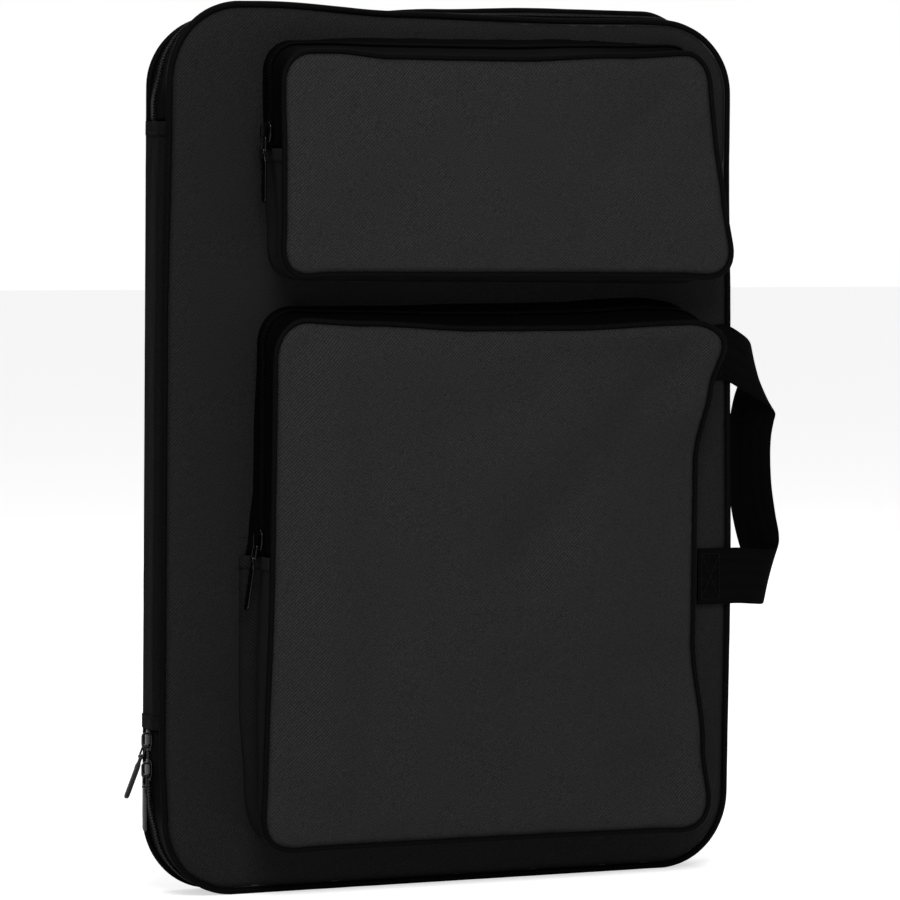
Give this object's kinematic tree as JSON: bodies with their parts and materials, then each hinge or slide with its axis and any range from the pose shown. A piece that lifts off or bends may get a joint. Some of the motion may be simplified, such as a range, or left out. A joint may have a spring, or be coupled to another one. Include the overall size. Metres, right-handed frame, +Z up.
{
  "type": "portfolio case",
  "caption": "Soft-sided upright portfolio case that opens like a book on a fabric spine, with zipped front pockets and a webbing side handle.",
  "frame": {"origin": "on the floor under the middle of the case, pockets, handle and zip pulls included", "axes": "+Z up, -Y towards the pockets, -X towards the spine, +X towards the handle"},
  "size_m": [0.3992, 0.0604, 0.48],
  "materials": {
    "shell_fabric": "matt woven polyester, faint twill",
    "lining_fabric": "thin smooth lining cloth",
    "piping": "bound piping, slight sheen",
    "zip_tape": "woven zip tape",
    "zip_coil": "nylon coil, satin",
    "webbing": "ribbed flat webbing",
    "board": "stiff plastic sheet",
    "slider_metal": "dark gunmetal plating, polished"
  },
  "bodies": {
    "back_cover": {"back_shell": "shell_fabric", "back_board": "board", "back_lining": "lining_fabric", "back_piping": "piping", "main_zip_tape_back": "zip_tape", "main_zip_coil_back": "zip_coil", "paper_sleeve": "lining_fabric", "sleeve_binding": "zip_tape", "board_strap": "webbing"},
    "spine": {"spine_gusset": "shell_fabric", "spine_lining": "lining_fabric", "spine_hem_lower": "shell_fabric", "spine_hem_upper": "shell_fabric"},
    "front_cover": {"front_shell": "shell_fabric", "front_board": "board", "front_lining": "lining_fabric", "front_piping": "piping", "main_zip_tape_front": "zip_tape", "main_zip_coil_front": "zip_coil", "large_pocket_gusset": "shell_fabric", "large_pocket_hem_left": "shell_fabric", "large_pocket_hem_right": "shell_fabric", "large_pocket_face_lower": "shell_fabric", "large_pocket_zip_tape_rear": "zip_tape", "large_pocket_zip_coil_rear": "zip_coil", "large_pocket_piping_lower": "piping", "top_pocket_gusset": "shell_fabric", "top_pocket_hem_left": "shell_fabric", "top_pocket_hem_right": "shell_fabric", "top_pocket_face_lower": "shell_fabric", "top_pocket_zip_tape_rear": "zip_tape", "top_pocket_zip_coil_rear": "zip_coil", "top_pocket_piping_lower": "piping", "handle_foot_lower": "webbing", "handle_foot_upper": "webbing"},
    "large_pocket_flap": {"large_pocket_face_upper": "shell_fabric", "large_pocket_zip_tape_front": "zip_tape", "large_pocket_zip_coil_front": "zip_coil", "large_pocket_piping_upper": "piping"},
    "top_pocket_flap": {"top_pocket_face_upper": "shell_fabric", "top_pocket_zip_tape_front": "zip_tape", "top_pocket_zip_coil_front": "zip_coil", "top_pocket_piping_upper": "piping"},
    "handle": {"handle_loop": "webbing"},
    "main_upper_slider": {"main_upper_slider": "slider_metal"},
    "main_upper_link": {"main_upper_link": "slider_metal"},
    "main_upper_tab": {"main_upper_tab": "slider_metal"},
    "main_lower_slider": {"main_lower_slider": "slider_metal"},
    "main_lower_link": {"main_lower_link": "slider_metal"},
    "main_lower_tab": {"main_lower_tab": "slider_metal"},
    "large_pocket_slider": {"large_pocket_slider": "slider_metal"},
    "large_pocket_link": {"large_pocket_link": "slider_metal"},
    "large_pocket_tab": {"large_pocket_tab": "slider_metal"},
    "top_pocket_slider": {"top_pocket_slider": "slider_metal"},
    "top_pocket_link": {"top_pocket_link": "slider_metal"},
    "top_pocket_tab": {"top_pocket_tab": "slider_metal"}
  },
  "joints": [
    {"name": "spine_fold", "type": "hinge", "parent": "back_cover", "child": "spine", "pos_m": [-0.18248, 0.03015, 0.24], "axis": [0, 0, -1], "range_deg": [0, 90]},
    {"name": "cover_fold", "type": "hinge", "parent": "spine", "child": "front_cover", "pos_m": [-0.18248, -0.00185, 0.24], "axis": [0, 0, -1], "range_deg": [0, 90]},
    {"name": "large_pocket_open", "type": "hinge", "parent": "front_cover", "child": "large_pocket_flap", "pos_m": [0.00452, -0.03015, 0.185], "axis": [1, 0, 0], "range_deg": [0, 50]},
    {"name": "top_pocket_open", "type": "hinge", "parent": "front_cover", "child": "top_pocket_flap", "pos_m": [0.01252, -0.03015, 0.405], "axis": [1, 0, 0], "range_deg": [0, 50]},
    {"name": "handle_swing", "type": "hinge", "parent": "front_cover", "child": "handle", "pos_m": [0.16352, -0.00315, 0.23], "axis": [0, 0, 1], "range_deg": [-60, 5]},
    {"name": "main_upper_slide", "type": "slide", "parent": "spine", "child": "main_upper_slider", "axis": [0, 0, -1], "range_m": [0, 0.002]},
    {"name": "main_upper_link_swing", "type": "hinge", "parent": "main_upper_slider", "child": "main_upper_link", "pos_m": [-0.18758, 0.01415, 0.08192], "axis": [0, 1, 0], "range_deg": [-4, 100]},
    {"name": "main_upper_tab_swing", "type": "hinge", "parent": "main_upper_link", "child": "main_upper_tab", "pos_m": [-0.18998, 0.01415, 0.07599], "axis": [0, 1, 0], "range_deg": [-4, 75]},
    {"name": "main_lower_slide", "type": "slide", "parent": "spine", "child": "main_lower_slider", "axis": [0, 0, -1], "range_m": [0, 0.011]},
    {"name": "main_lower_link_swing", "type": "hinge", "parent": "main_lower_slider", "child": "main_lower_link", "pos_m": [-0.18758, 0.01415, 0.06572], "axis": [0, 1, 0], "range_deg": [-3, 30]},
    {"name": "main_lower_tab_swing", "type": "hinge", "parent": "main_lower_link", "child": "main_lower_tab", "pos_m": [-0.18758, 0.01415, 0.05932], "axis": [0, 1, 0], "range_deg": [-2, 45]},
    {"name": "large_pocket_slide", "type": "slide", "parent": "front_cover", "child": "large_pocket_slider", "axis": [0, 0, 1], "range_m": [0, 0.088]},
    {"name": "large_pocket_link_swing", "type": "hinge", "parent": "large_pocket_slider", "child": "large_pocket_link", "pos_m": [-0.13588, -0.0145, 0.19112], "axis": [0, 1, 0], "range_deg": [-9, 100]},
    {"name": "large_pocket_tab_swing", "type": "hinge", "parent": "large_pocket_link", "child": "large_pocket_tab", "pos_m": [-0.13712, -0.0145, 0.18332], "axis": [0, 1, 0], "range_deg": [-6, 75]},
    {"name": "top_pocket_slide", "type": "slide", "parent": "front_cover", "child": "top_pocket_slider", "axis": [0, 0, 1], "range_m": [0, 0.018]},
    {"name": "top_pocket_link_swing", "type": "hinge", "parent": "top_pocket_slider", "child": "top_pocket_link", "pos_m": [-0.13238, -0.0145, 0.41113], "axis": [0, 1, 0], "range_deg": [-2, 100]},
    {"name": "top_pocket_tab_swing", "type": "hinge", "parent": "top_pocket_link", "child": "top_pocket_tab", "pos_m": [-0.13238, -0.0145, 0.40323], "axis": [0, 1, 0], "range_deg": [-1, 75]}
  ],
  "couplings": [
    {"joint": "cover_fold", "follows": "spine_fold", "ratio": 1}
  ]
}
